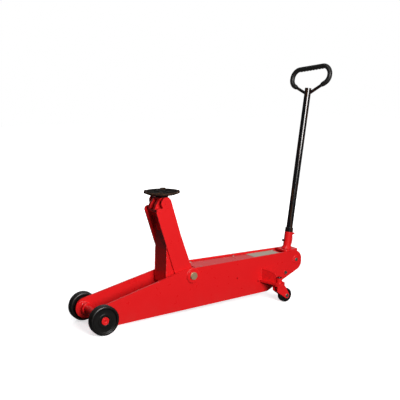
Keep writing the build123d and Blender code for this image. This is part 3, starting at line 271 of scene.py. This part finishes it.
# ------------------------------------------------------------------ shader writing
class Value:
    """A shader socket that can be used in arithmetic."""

    def __init__(self, finish, socket):
        self.finish = finish
        self.socket = socket

    def math(self, operation, *others, clamp=False):
        """Math node with this value first."""
        values = {0: self, **{k + 1: other for k, other in enumerate(others)}}
        settings = {"operation": operation, "use_clamp": clamp}
        return self.finish.add("ShaderNodeMath", settings, values)

    def __add__(self, other):
        return self.math("ADD", other)

    __radd__ = __add__

    def __mul__(self, other):
        return self.math("MULTIPLY", other)

    __rmul__ = __mul__

    def __sub__(self, other):
        return self.math("SUBTRACT", other)

    def __rsub__(self, other):
        return self.finish.add("ShaderNodeMath", {"operation": "SUBTRACT"}, {0: other, 1: self})

    def limited(self):
        """The value held between nought and one."""
        return self.math("ADD", 0.0, clamp=True)

    def step(self, low, high):
        """Smooth rise from nought at low to one at high."""
        settings = {"interpolation_type": "SMOOTHSTEP"}
        return self.finish.add("ShaderNodeMapRange", settings, {0: self, 1: low, 2: high})


class Tree:
    """A node tree that is written as expressions."""

    def __init__(self, tree):
        self.tree = tree

    def add(self, kind, settings, values, output=0):
        """Add any node: its settings first, then its sockets' values or links."""
        node = self.tree.nodes.new(kind)
        for key, setting in settings.items():
            setattr(node, key, setting)
        for key, value in values.items():
            if isinstance(value, Value):
                self.tree.links.new(value.socket, node.inputs[key])
            else:
                node.inputs[key].default_value = value
        return Value(self, node.outputs[output])

    def split(self, vector):
        """The three numbers of a vector."""
        first = self.add("ShaderNodeSeparateXYZ", {}, {0: vector})
        outputs = first.socket.node.outputs
        return first, Value(self, outputs[1]), Value(self, outputs[2])

    def join(self, x, y, z):
        """A vector from three numbers."""
        return self.add("ShaderNodeCombineXYZ", {}, {0: x, 1: y, 2: z})


class Finish(Tree):
    """A procedural material, written as expressions on the piece's own coordinates."""

    def __init__(self, name):
        self.material = bpy.data.materials.new(name)
        self.material.use_nodes = True
        super().__init__(self.material.node_tree)
        self.shader = self.tree.nodes["Principled BSDF"]
        self.place = self.add("ShaderNodeTexCoord", {}, {}, "Object")
        self.x, self.y, self.z = self.split(self.place)

    def noise(self, size, detail=3.0, where=None, rough=0.55):
        """Cloudy value from nought to one, with lumps about this size in metres."""
        values = {"Vector": where or self.place, "Scale": 1.0 / size, "Detail": detail,
                  "Roughness": rough}
        return self.add("ShaderNodeTexNoise", {}, values)

    def mix(self, share, first, second):
        """Colour between two colours."""
        first = first if isinstance(first, Value) else (*first, 1.0)
        second = second if isinstance(second, Value) else (*second, 1.0)
        return self.add("ShaderNodeMix", {"data_type": "RGBA"}, {0: share, 6: first, 7: second}, 2)

    def radius_about(self, centre, plane="xz"):
        """Distance from a shaft's axis, or from an upright axis, in metres."""
        first = self.x - float(centre[0])
        second = self.z - float(centre[2]) if plane == "xz" else self.y - float(centre[1])
        return (first * first + second * second).math("SQRT")

    def bump(self, height, depth, strength=1.0):
        """Normal tilted by a height map, whose full range is this deep in metres."""
        return self.add("ShaderNodeBump", {}, {"Strength": strength, "Distance": depth,
                                               "Height": height})

    def finished(self, changing, fixed):
        """Link what changes over the surface and set what doesn't, then hand the material over."""
        for key, value in changing.items():
            self.tree.links.new(value.socket, self.shader.inputs[key])
        for key, value in fixed.items():
            self.shader.inputs[key].default_value = value
        return self.material


def enamel(name, bright, deep, wear=0.2):
    """Sprayed gloss enamel: slow colour drift, orange peel, road film low down and few chips."""
    f = Finish(name)
    drift = f.noise(0.35, 2.0)
    mottle = f.noise(0.03, 3.0)
    peel = f.noise(0.0022, 2.0)
    sag = f.noise(0.045, 1.0)
    low_down = (0.11 - f.z).math("DIVIDE", 0.11, clamp=True)
    # real road dust on the paint, thicker low down
    dust_film_and_painted_reflection = (low_down * f.noise(0.05, 4.0).step(0.35, 0.8) * (0.35 * wear)).limited()
    spots = f.noise(0.006, 2.0).step(0.76, 0.79) * f.noise(0.08, 2.0).step(0.56, 0.7)
    chips = (spots * wear).limited()
    paint = f.mix((drift * 0.7 + mottle * 0.3).limited(), deep, bright)
    dusty = f.mix(dust_film_and_painted_reflection, paint, (0.20, 0.12, 0.09))
    chipped = f.mix(chips, dusty, (0.10, 0.06, 0.055))
    rough = (0.24 + mottle * 0.10 + dust_film_and_painted_reflection * 0.9 + chips * 0.3).limited()
    height = peel * 0.35 + sag * 0.65 - chips * 0.5
    return f.finished(
        {"Base Color": chipped, "Roughness": rough, "Normal": f.bump(height, 0.00025, 0.55)},
        {"IOR": 1.45, "Coat Weight": 0.15, "Coat Roughness": 0.10, "Specular IOR Level": 0.4},
    )


def wheel_black(name, centre, tread_radius):
    """Black moulded wheel: scuffed and dusty on the tread, moulding rings on its faces, and brown
    patches all over that are painted reflection.
    """
    f = Finish(name)
    r = f.radius_about(centre)
    tread = r.step(tread_radius - 0.004, tread_radius - 0.001)
    scuff = f.noise(0.012, 4.0)
    fine = f.noise(0.0012, 3.0)
    rings = (r * (TURN / 0.0021)).math("SINE") * (1.0 - tread)
    worn = (tread * scuff.step(0.35, 0.7) * 0.55).limited()
    # painted reflection: brown patches all over the wheel stand in for brown reflections on the
    # black
    dust_film_and_painted_reflection = f.noise(0.05, 3.0).step(0.45, 0.8) * 0.25
    black = f.mix(dust_film_and_painted_reflection, (0.0035, 0.0033, 0.0032), (0.010, 0.0075, 0.0055))
    colour = f.mix(worn, black, (0.020, 0.014, 0.010))
    rough = (0.27 + scuff * 0.16 + worn * 0.3).limited()
    height = rings * 0.10 + fine * 0.35 + scuff * tread * 0.6
    return f.finished(
        {"Base Color": colour, "Roughness": rough, "Normal": f.bump(height, 0.0003, 0.6)},
        {"IOR": 1.5},
    )


def saddle_iron(name):
    """Blackened iron casting: sandy skin, brown along the rim and on the ribs, partly rust wear
    and partly painted highlight.
    """
    f = Finish(name)
    r = f.radius_about(saddle_centre, "xy")
    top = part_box("saddle")[1][2]
    sand = f.noise(0.0016, 4.0)
    lumps = f.noise(0.02, 3.0)
    # brown on the rim band and the top: partly rust wear, partly painted highlight standing in for
    # brown glints
    rim = r.step(0.070, 0.079) * f.noise(0.011, 3.0).step(0.42, 0.68)
    upper = (f.z - (top - 0.0095)).step(0.0, 0.004) * lumps.step(0.4, 0.7)
    rust_and_painted_highlight = (rim * 0.75 + upper * 0.45 + f.noise(0.006, 3.0).step(0.6, 0.8) * 0.3).limited()
    black = f.mix(lumps, (0.0035, 0.003, 0.0028), (0.009, 0.007, 0.005))
    colour = f.mix(rust_and_painted_highlight, black, (0.075, 0.030, 0.012))
    rough = (0.50 + sand * 0.25 + rust_and_painted_highlight * 0.15).limited()
    return f.finished(
        {"Base Color": colour, "Roughness": rough,
         "Normal": f.bump(sand * 0.6 + lumps * 0.4, 0.0006, 0.7)},
        {"IOR": 1.5, "Specular IOR Level": 0.2},
    )


def handle_black(name):
    """Gloss black enamel on drawn tube: faint lengthwise drawing lines, brown rubbing marks, and a
    warm lengthwise streak that is painted reflection.
    """
    f = Finish(name)
    drawn = f.noise(0.004, 3.0, f.join(f.x, f.y, f.z * 0.02))
    rubbed = f.noise(0.03, 4.0).step(0.60, 0.78) * f.noise(0.2, 2.0).step(0.45, 0.65)
    # painted reflection: a warm brown streak stretched along the tube, mixed into the black base
    # colour
    painted_reflection_streak = f.noise(0.013, 2.0, f.join(f.x, f.y, f.z * 0.05)).step(0.50, 0.66)
    black = f.mix(painted_reflection_streak * 0.8, (0.005, 0.005, 0.006), (0.045, 0.016, 0.005))
    colour = f.mix((rubbed * 0.6).limited(), black, (0.070, 0.028, 0.010))
    rough = (0.17 + drawn * 0.08 + rubbed * 0.2).limited()
    return f.finished(
        {"Base Color": colour, "Roughness": rough,
         "Normal": f.bump(drawn * 0.7 + f.noise(0.002, 2.0) * 0.3, 0.00015, 0.5)},
        {"IOR": 1.5, "Coat Weight": 0.6, "Coat Roughness": 0.08},
    )


def grip_rubber(name):
    """Moulded rubber: fine pebbled skin, polished where hands hold it."""
    f = Finish(name)
    pebble = f.add("ShaderNodeTexVoronoi", {}, {"Vector": f.place, "Scale": 620.0})
    hands = f.noise(0.04, 3.0)
    colour = f.mix(hands, (0.006, 0.006, 0.006), (0.016, 0.015, 0.014))
    rough = (0.34 + hands * 0.22).limited()
    return f.finished(
        {"Base Color": colour, "Roughness": rough, "Normal": f.bump(pebble, 0.0002, 0.5)},
        {"IOR": 1.5},
    )


def turned_steel(name, tint, dull, rough_from=0.24):
    """Machined steel: fine turning lines, handling stains and a little brown in the hollows."""
    f = Finish(name)
    lines = f.noise(0.0011, 4.0, f.join(f.x * 0.2, f.y, f.z * 0.2))
    stain = f.noise(0.018, 4.0)
    colour = f.mix((stain.step(0.4, 0.75) * 0.6).limited(), tint, dull)
    rough = (rough_from + lines * 0.12 + stain * 0.12).limited()
    return f.finished(
        {"Base Color": colour, "Roughness": rough, "Normal": f.bump(lines, 0.00012, 0.5)},
        {"Metallic": 1.0},
    )


def label_foil(name):
    """Blank satin label: warm grey with a fine grain and a slightly lighter field."""
    f = Finish(name)
    low, high = (np.array(corner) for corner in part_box("data_plate"))
    field = ((f.x - float(low[0] + 0.006)).step(0, 0.001)
             * (float(high[0] - 0.006) - f.x).step(0, 0.001)
             * (f.y - float(low[1] + 0.006)).step(0, 0.001)
             * (float(high[1] - 0.006) - f.y).step(0, 0.001))
    grain = f.noise(0.0025, 3.0)
    clouds = f.noise(0.03, 3.0)
    plain = f.mix(clouds, (0.34, 0.28, 0.20), (0.42, 0.35, 0.27))
    colour = f.mix((field * 0.35 + grain * 0.2).limited(), plain, (0.52, 0.46, 0.36))
    return f.finished(
        {"Base Color": colour, "Roughness": 0.30 + clouds * 0.15,
         "Normal": f.bump(grain, 0.0001, 0.4)},
        {"Coat Weight": 0.3, "Coat Roughness": 0.2},
    )


def floor_paper(name):
    """Matt pale studio floor with a barely visible unevenness."""
    f = Finish(name)
    colour = f.mix(f.noise(0.6, 2.0), (0.88, 0.88, 0.885), (0.92, 0.92, 0.92))
    far = f.radius_about((0.0, 0.0, 0.0), "xy").step(0.7, 3.2)
    haze = f.mix(far, (0.74, 0.74, 0.75), (1.0, 1.0, 1.0))
    return f.finished({"Base Color": colour, "Roughness": 0.7 + f.noise(0.02, 2.0) * 0.1,
                       "Emission Color": haze},
                      {"Specular IOR Level": 0.1, "Emission Strength": 0.86})


def cover(piece, material):
    """Give a piece one material all over."""
    mesh = piece.data
    mesh.materials.clear()
    mesh.materials.append(material)


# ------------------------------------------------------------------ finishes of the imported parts
red = enamel("red_enamel", (0.76, 0.014, 0.016), (0.68, 0.008, 0.010))
steel = turned_steel("turned_steel", (0.55, 0.53, 0.47), (0.30, 0.27, 0.20))
shaft_steel = turned_steel("passivated_shaft", (0.86, 0.64, 0.40), (0.60, 0.40, 0.21), 0.34)
coil_steel = turned_steel("spring_wire", (0.22, 0.22, 0.22), (0.10, 0.085, 0.07), 0.38)
finishes = {
    "red_paint": red,
    "saddle_iron": saddle_iron("saddle_casting"),
    "handle_black": handle_black("handle_enamel"),
    "grip_rubber": grip_rubber("grip_rubber"),
    "label_foil": label_foil("blank_label"),
    "spring_steel": coil_steel,
    "bright_steel": steel,
}
caster_black = {
    side: wheel_black(f"caster_tyre_{side}", middle(f"caster_wheel_{side}"), 0.034)
    for side in ("left", "right")
}
front_black = {
    side: wheel_black(f"front_tyre_{side}", middle(f"front_wheel_{side}"), front_radius)
    for side in ("left", "right")
}
slots = {part["node"]: part["material_slot"] for part in frame["record"]["subparts"]}
for node, obj in nodes.items():
    if slots[node] in finishes:
        cover(obj, finishes[slots[node]])
cover(nodes["main_shaft"], shaft_steel)
cover(nodes["stem_caps"], finishes["handle_black"])
cover(nodes["clamp_screw"], finishes["handle_black"])

# ------------------------------------------------------------------ wheels
rim_step, web_edge = front_radius - 0.0110, front_radius - 0.0135
front_profile = rounded(
    [(-0.018, front_radius), (0.018, front_radius), (0.018, rim_step), (0.0120, web_edge),
     (0.0120, 0.0300), (0.0138, 0.0285), (0.0138, 0.0215), (0.0122, 0.0200), (0.0122, 0.01105),
     (-0.0122, 0.01105), (-0.0122, 0.0280), (-0.0120, web_edge), (-0.018, rim_step)],
    [0.0060, 0.0060, 0.0030, 0.0030, 0.0008, 0.0006, 0.0006, 0.0008, 0.0, 0.0, 0.0, 0.003, 0.003],
)
caster_profile = rounded(
    [(-0.013, 0.034), (0.013, 0.034), (0.013, 0.020), (0.0105, 0.018), (0.0105, 0.012),
     (0.013, 0.011), (0.013, 0.00605), (-0.013, 0.00605), (-0.013, 0.011), (-0.0105, 0.012),
     (-0.0105, 0.018), (-0.013, 0.020)],
    [0.0050, 0.0050, 0.0015, 0.0012, 0.0012, 0.0006, 0.0, 0.0, 0.0006, 0.0012, 0.0012, 0.0015],
)
for side, sign in (("left", -1.0), ("right", 1.0)):
    wheel = turned_piece(f"front_tyre_{side}", [(middle(f"front_wheel_{side}"), sign)],
                         front_profile, f"front_wheel_{side}", "wheel_black")
    cover(wheel, front_black[side])
    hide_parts(f"front_wheel_{side}")
    roller = turned_piece(f"caster_tyre_{side}", [(middle(f"caster_wheel_{side}"), 1.0)],
                          caster_profile, f"caster_wheel_{side}", "wheel_black", steps=72)
    cover(roller, caster_black[side])
    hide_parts(f"caster_wheel_{side}")

# Hub discs: pressed red caps with a shallow ring groove.
cap_low, cap_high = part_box("axle_end_caps")
cap_out, cap_radius = float(cap_high[1]), float(cap_high[2] - cap_low[2]) / 2
cap_profile = rounded(
    [(-0.005, 0.0), (-0.005, cap_radius), (-0.001, cap_radius), (0.0, cap_radius - 0.0012),
     (0.0, 0.0125), (-0.0006, 0.0118), (-0.0006, 0.0108), (0.0, 0.0100), (0.0, 0.0)],
    [0.0, 0.0005, 0.0008, 0.0005, 0.0003, 0.0003, 0.0003, 0.0003, 0.0],
)
cap_profile[:, 1] = np.maximum(cap_profile[:, 1], 0.00005)
hub_discs = turned_piece(
    "hub_discs", [((axle[0], -cap_out, axle[2]), -1.0), ((axle[0], cap_out, axle[2]), 1.0)],
    cap_profile, "frame", "red_paint", steps=64,
)
cover(hub_discs, red)
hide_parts("axle_end_caps")

# ------------------------------------------------------------------ hand grip
loop_corners = np.array([(0.0, 0.828), (-0.110, 0.874), (-0.110, 0.944), (0.122, 0.977),
                         (0.122, 0.903)])
grip_share = 0.62               # share of each lower rod that the sleeve leaves bare
ridge_first = -0.05896          # first finger ridge, across the loop
ridge_pitch = 0.01856
ridge_height = 0.0021
bar_above = 0.93                # the loop's upper bar lies beyond this, along the handle
neck_length = 0.009
grip_start = loop_corners[0] + (loop_corners[1] - loop_corners[0]) * grip_share
grip_end = loop_corners[0] + (loop_corners[4] - loop_corners[0]) * grip_share
grip_flat = rounded([grip_start, *loop_corners[1:], grip_end],
                    [0.0, 0.036, 0.050, 0.042, 0.045, 0.0], steps=40, closed=False)


def evenly(path, step):
    """The same path with points a constant length apart."""
    length = np.concatenate([[0], np.cumsum(np.linalg.norm(np.diff(path, axis=0), axis=1))])
    wanted = np.linspace(0, length[-1], int(length[-1] / step))
    return np.stack([np.interp(wanted, length, path[:, k]) for k in range(path.shape[1])], -1)


def grip_mesh(flat, neck=0.0078, base=0.0119, around=28):
    """Rubber sleeve: radius = base, narrowed to the neck at its ends, plus finger ridges.

    The narrowing is (base - neck) exp(-(s / 9 mm)^2) at each end; the ridges are 2.1 mm cos^2
    along the bar, on the side of the section that points down the handle.
    """
    flat = evenly(flat, 0.0011)
    step = np.linalg.norm(np.diff(flat, axis=0), axis=1)
    s = np.concatenate([[0], np.cumsum(step)])
    ahead = np.gradient(flat, axis=0)
    ahead /= np.linalg.norm(ahead, axis=1)[:, None]
    inward = np.stack([ahead[:, 1], -ahead[:, 0]], axis=-1)
    bar_from, bar_to = loop_corners[2][0], loop_corners[3][0]
    across_share = (flat[:, 0] - bar_from) / (bar_to - bar_from)
    on_bar = (np.clip((across_share - 0.18) / 0.03, 0, 1)
              * np.clip((0.82 - across_share) / 0.03, 0, 1) * (flat[:, 1] > bar_above))
    ridges = ridge_height * np.cos(np.pi * (flat[:, 0] - ridge_first) / ridge_pitch) ** 2 * on_bar
    taper = np.exp(-(s / neck_length) ** 2) + np.exp(-((s[-1] - s) / neck_length) ** 2)
    sleeve = base - (base - neck) * taper
    turn = np.linspace(0, TURN, around, endpoint=False)
    facing_in = np.clip(np.cos(turn), 0, 1)[None, :]
    radius = sleeve[:, None] + ridges[:, None] * facing_in
    inward_3d = inward[:, :1] * loop_across + inward[:, 1:] * handle_up
    square = np.cross(loop_across, handle_up)
    line = handle_foot + flat[:, :1] * loop_across + flat[:, 1:] * handle_up
    points = (line[:, None, :] + (radius * np.cos(turn))[:, :, None] * inward_3d[:, None, :]
              + (radius * np.sin(turn))[:, :, None] * square)
    rows = flat.shape[0]
    faces = grid_faces(rows, around, False, True)
    last = (rows - 1) * around
    faces += [list(range(around))[::-1], list(range(last, last + around))]
    quads = [face for face in faces if len(face) == 4]
    return points, outward(faces, signed_volume(points, quads))


grip = make_piece("grip_sleeve", *grip_mesh(grip_flat), "handle", "grip_rubber")
cover(grip, finishes["grip_rubber"])
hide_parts("hand_grip")

# ------------------------------------------------------------------ springs
def coil_mesh(node, side, wire, turns, start):
    """Helix along X that fills its packed spring's box, on one side of the middle plane.

    Point = (x, y + r cos(TURN turns s), z + r sin(TURN turns s)), with s from nought to one
    along the coil; a box that spans both sides holds two coils, at its outer edges.
    """
    low, high = (np.array(corner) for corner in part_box(node))
    radius = (high[2] - low[2] - wire) / 2
    y = side * (high[1] - radius - wire / 2)
    s = np.linspace(0, 1, turns * 28 + 1)
    path = np.stack([low[0] + wire / 2 + (high[0] - low[0] - wire) * s,
                     y + radius * np.cos(TURN * turns * s),
                     (low[2] + high[2]) / 2 + radius * np.sin(TURN * turns * s)], axis=-1)
    half = np.full(len(s), wire / 2)
    up = {"direction": np.array([1.0, 0.0, 0.0]), "size": half}
    return sweep_mesh(path, half, up, around=8, start=start)


def spring(name, node, sides, wire, turns):
    """Coils in place of a packed spring."""
    all_points, all_faces, start = [], [], 0
    for side in sides:
        points, faces = coil_mesh(node, side, wire, turns, start)
        all_points.append(points)
        all_faces += faces
        start += points.shape[0]
    piece = make_piece(name, np.concatenate(all_points), all_faces, "frame", "spring_steel")
    cover(piece, coil_steel)
    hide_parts(node)
    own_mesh(piece)


spring("pump_coil", "pump_spring", [1.0], 0.003, 11)
spring("return_coils", "return_springs", [-1.0, 1.0], 0.0025, 16)

# ------------------------------------------------------------------ welds
ring_edge = float(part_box("pivot_boss_rings")[1][2] - shaft[2])
yoke_ring_edge, collar_edge = 0.0183, 0.0263
foot_front, foot_rear = axle[0] + 0.852, axle[0] + 0.934    # caster bracket on the side plate
foot_seams = ((0.0983, 1.0), (0.0877, -1.0))                # height, and which way a bead leans
gusset_sides = (axle[0] + 0.8584, axle[0] + 0.8663)
gusset_low, gusset_high = 0.1005, 0.1530
frame_seams = []
for side in (-1.0, 1.0):
    normal = (0.0, side, 0.0)
    frame_seams.append((ring_on_side(shaft, ring_edge, side), normal, True))
    frame_seams.append((ring_on_side(yoke_pin, yoke_ring_edge, side), normal, True))
    inner = side * (plate_face(axle[0]) - plate_thick - 0.0003)
    angle = np.linspace(0, TURN, 160, endpoint=False)
    collar_ring = np.stack([axle[0] + collar_edge * np.cos(angle), inner + 0 * angle,
                            axle[2] + collar_edge * np.sin(angle)], axis=-1)
    frame_seams.append((collar_ring, (0.0, -side, 0.0), True))
    for height, lift in foot_seams:
        frame_seams.append((straight((foot_front, side * plate_face(foot_front), height),
                                     (foot_rear, side * plate_face(foot_rear), height)),
                            (0.0, side, lift), False))
    for x in gusset_sides:
        frame_seams.append((straight((x, side * plate_face(x), gusset_low),
                                     (x, side * plate_face(x), gusset_high)), normal, False))
frame_welds = welds("frame_welds", frame_seams, "frame")
cover(frame_welds, red)

web_line = [(0.331, 0.170), (0.336, 0.312), (0.321, 0.443)]   # behind the axle, and height
web_edge_y, web_clear = 0.0518, 0.001
arm_seams = []
for side in (-1.0, 1.0):
    for first, second in zip(web_line[:-1], web_line[1:]):
        x_from, x_to = (axle[0] + point[0] + web_clear for point in (first, second))
        arm_seams.append((straight((x_from, side * web_edge_y, first[1]),
                                   (x_to, side * web_edge_y, second[1])),
                          (-1.0, -side, 0.0), False))
arm_welds = welds("arm_welds", arm_seams, "arm")
cover(arm_welds, red)

# ------------------------------------------------------------------ studio
floor_size = 14.0
corners = np.array([(-1, -1), (1, -1), (1, 1), (-1, 1)]) * floor_size
floor = make_piece("studio_floor", np.c_[corners, np.full(4, -0.0004)], [[0, 1, 2, 3]], None, None)
cover(floor, floor_paper("pale_floor"))
floor.visible_diffuse = False
floor.visible_glossy = False


def soft_light(name, place, aim, size, power, colour=(1.0, 1.0, 1.0), mirrored=True):
    """Square soft box that faces a point."""
    lamp = bpy.data.lights.new(name, "AREA")
    lamp.energy = power
    lamp.size = size
    lamp.color = colour
    holder = bpy.data.objects.new(name, lamp)
    bpy.context.scene.collection.objects.link(holder)
    holder.location = place
    holder.visible_glossy = mirrored
    direction = np.array(aim) - np.array(place)
    holder.rotation_euler = Vector(direction.tolist()).to_track_quat("-Z", "Y").to_euler()


soft_light("key_box", (-0.35, -3.1, 1.45), (0.0, 0.0, 0.25), 1.3, 118.0, (1.0, 0.985, 0.97))
soft_light("top_box", (-0.7, -0.9, 3.0), (0.0, 0.0, 0.2), 0.9, 12.0)
soft_light("back_fill", (1.3, 3.2, 1.7), (0.0, 0.0, 0.3), 1.6, 60.0, mirrored=False)

# The backdrop shows as white, but what reaches the jack is only the glow of the studio's far
# walls: darkest in front of the wheels, brighter behind the jack and overhead.
world = bpy.data.worlds.new("studio_air")
world.use_nodes = True
air = Tree(world.node_tree)
direction = air.add("ShaderNodeTexCoord", {}, {}, "Generated")
toward_x, toward_y, toward_z = air.split(direction)
behind = toward_y.step(-0.3, 0.7) * toward_x.step(-0.25, 0.35)
walls = 0.05 + behind * 0.27 + toward_z.step(0.0, 0.9) * 0.14
walls = walls * (1.0 - (0.0 - toward_x).step(0.2, 0.9) * 0.75)
seen = air.add("ShaderNodeLightPath", {}, {}, "Is Camera Ray")
glow = seen + walls * (1.0 - seen)
background = air.tree.nodes["Background"]
background.inputs["Color"].default_value = (1.0, 1.0, 1.0, 1.0)
air.tree.links.new(glow.socket, background.inputs["Strength"])
bpy.context.scene.world = world
bpy.context.scene.view_settings.view_transform = "Standard"

camera = bpy.data.cameras.new("camera")
camera.sensor_width = 36.0
camera.lens = 62.7
camera.clip_end = 60.0
camera_holder = bpy.data.objects.new("camera", camera)
bpy.context.scene.collection.objects.link(camera_holder)
eye = np.array([axle[0] - 1.1184, -2.7076, 1.0466])
aim = np.array([axle[0] + 0.5433, 0.0, 0.5110])
camera_holder.location = eye
camera_holder.rotation_mode = "QUATERNION"
camera_holder.rotation_quaternion = Vector((aim - eye).tolist()).to_track_quat("-Z", "Y")
bpy.context.scene.camera = camera_holder
